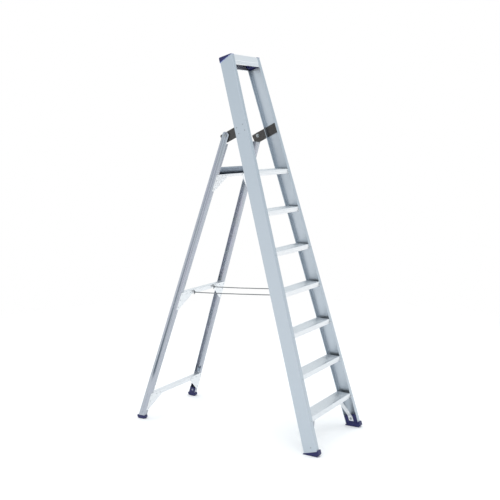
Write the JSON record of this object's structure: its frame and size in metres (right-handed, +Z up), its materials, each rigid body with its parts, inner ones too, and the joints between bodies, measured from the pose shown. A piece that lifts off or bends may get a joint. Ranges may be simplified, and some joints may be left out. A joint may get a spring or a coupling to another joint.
{
  "type": "step ladder",
  "caption": "Swing-back step ladder: channel stiles with box treads and a high handrail, hinged rear frame with cross members, restraint cords and moulded feet.",
  "frame": {"origin": "on the floor, under the middle of the open ladder's footprint", "axes": "+Z up, +Y from the climbing side to the rear frame, +X to the climber's right"},
  "size_m": [0.6338, 1.3576, 2.365],
  "materials": {
    "mill_aluminium": "mill finish extrusion, slightly dull",
    "bright_aluminium": "bright extrusion, fine die lines",
    "dark_steel": "dark passivated plate",
    "zinc_steel": "zinc plated",
    "navy_plastic": "moulded, satin",
    "grey_cord": "braided"
  },
  "bodies": {
    "front_frame": {"stile_web_left": "mill_aluminium", "stile_front_flange_left": "mill_aluminium", "stile_rear_flange_left": "mill_aluminium", "top_cap_left": "navy_plastic", "foot_front_left": "navy_plastic", "foot_brace_left": "bright_aluminium", "hinge_plate_left": "dark_steel", "pivot_bolt_left": "zinc_steel", "pivot_nut_left": "zinc_steel", "tread_bracket_1_left": "bright_aluminium", "tread_bracket_2_left": "bright_aluminium", "tread_bracket_3_left": "bright_aluminium", "tread_bracket_4_left": "bright_aluminium", "tread_bracket_5_left": "bright_aluminium", "tread_bracket_6_left": "bright_aluminium", "tread_bracket_7_left": "bright_aluminium", "stile_web_right": "mill_aluminium", "stile_front_flange_right": "mill_aluminium", "stile_rear_flange_right": "mill_aluminium", "top_cap_right": "navy_plastic", "foot_front_right": "navy_plastic", "foot_brace_right": "bright_aluminium", "hinge_plate_right": "dark_steel", "pivot_bolt_right": "zinc_steel", "pivot_nut_right": "zinc_steel", "tread_bracket_1_right": "bright_aluminium", "tread_bracket_2_right": "bright_aluminium", "tread_bracket_3_right": "bright_aluminium", "tread_bracket_4_right": "bright_aluminium", "tread_bracket_5_right": "bright_aluminium", "tread_bracket_6_right": "bright_aluminium", "tread_bracket_7_right": "bright_aluminium", "tread_1": "bright_aluminium", "tread_2": "bright_aluminium", "tread_3": "bright_aluminium", "tread_4": "bright_aluminium", "tread_5": "bright_aluminium", "tread_6": "bright_aluminium", "tread_7": "bright_aluminium", "top_rail": "bright_aluminium"},
    "rear_frame": {"cross_member_top": "bright_aluminium", "cross_member_mid": "bright_aluminium", "cross_member_low": "bright_aluminium", "rear_leg_left": "mill_aluminium", "foot_rear_left": "navy_plastic", "gusset_top_left": "bright_aluminium", "gusset_mid_left": "bright_aluminium", "gusset_low_left": "bright_aluminium", "cord_knot_rear_left": "grey_cord", "rear_leg_right": "mill_aluminium", "foot_rear_right": "navy_plastic", "gusset_top_right": "bright_aluminium", "gusset_mid_right": "bright_aluminium", "gusset_low_right": "bright_aluminium", "cord_knot_rear_right": "grey_cord"},
    "cord_front": {"cord_front_half_left": "grey_cord", "cord_front_half_right": "grey_cord"},
    "cord_rear": {"cord_rear_half_left": "grey_cord", "cord_rear_half_right": "grey_cord"}
  },
  "joints": [
    {"name": "fold", "type": "hinge", "parent": "front_frame", "child": "rear_frame", "pos_m": [0, 0.03776, 1.87053], "axis": [-1, 0, 0], "range_deg": [0, 34.45], "deforming": ["cord_front_half_left", "cord_front_half_right", "cord_rear_half_left", "cord_rear_half_right"]},
    {"name": "cord_swing", "type": "hinge", "parent": "front_frame", "child": "cord_front", "pos_m": [0, -0.318, 0.9], "axis": [-1, 0, 0], "range_deg": [0, 86.6]},
    {"name": "cord_bend", "type": "hinge", "parent": "cord_front", "child": "cord_rear", "pos_m": [0, 0.026, 0.874], "axis": [-1, 0, 0], "range_deg": [-173.9, 0]}
  ],
  "couplings": [
    {"joint": "cord_swing", "follows": "fold", "ratio": 2.5102},
    {"joint": "cord_bend", "follows": "fold", "ratio": -5.0443}
  ]
}
